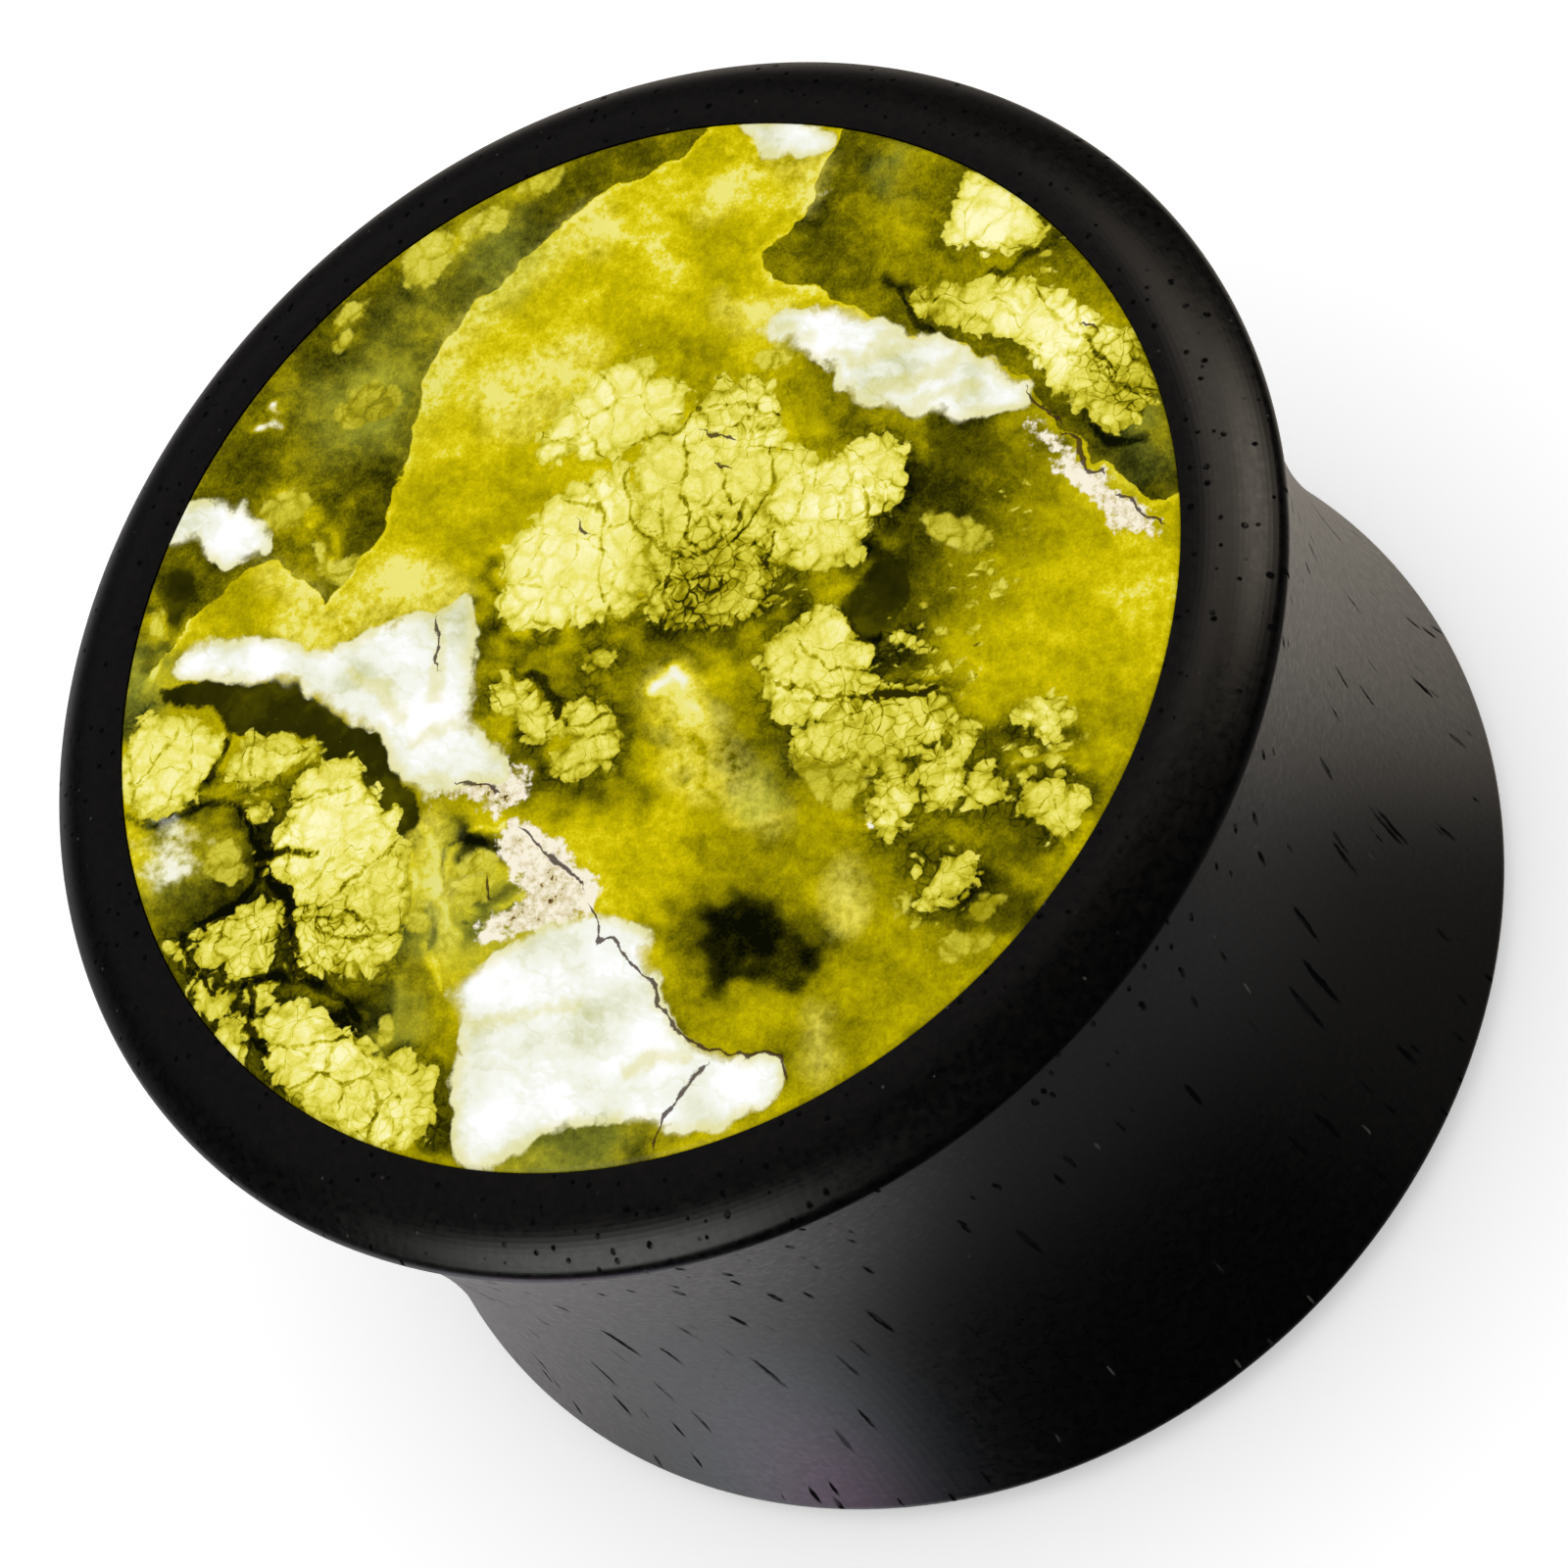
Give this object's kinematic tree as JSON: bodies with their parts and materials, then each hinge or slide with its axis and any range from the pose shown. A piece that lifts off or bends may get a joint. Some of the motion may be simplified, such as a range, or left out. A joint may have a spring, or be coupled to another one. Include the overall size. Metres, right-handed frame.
{
  "type": "double flared ear plug gauge",
  "caption": "Round saddle plug for a stretched ear lobe: a turned black wood body with two flares and a concave waist, and a flush polished stone disc in its front face.",
  "frame": {"origin": "centre of the flat back face, the face that the plug stands on", "axes": "+Z along the plug's axis, from the back face to the stone; the plug is round about Z"},
  "size_m": [0.022, 0.022, 0.0135],
  "materials": {
    "black_wood": "black hardwood, sanded fine and waxed to a satin sheen, open pores",
    "green_stone": "yellow-green stone with white and pale yellow veins, polished flat"
  },
  "bodies": {
    "root": {"wood_saddle": "black_wood", "stone_inlay": "green_stone"}
  },
  "joints": []
}
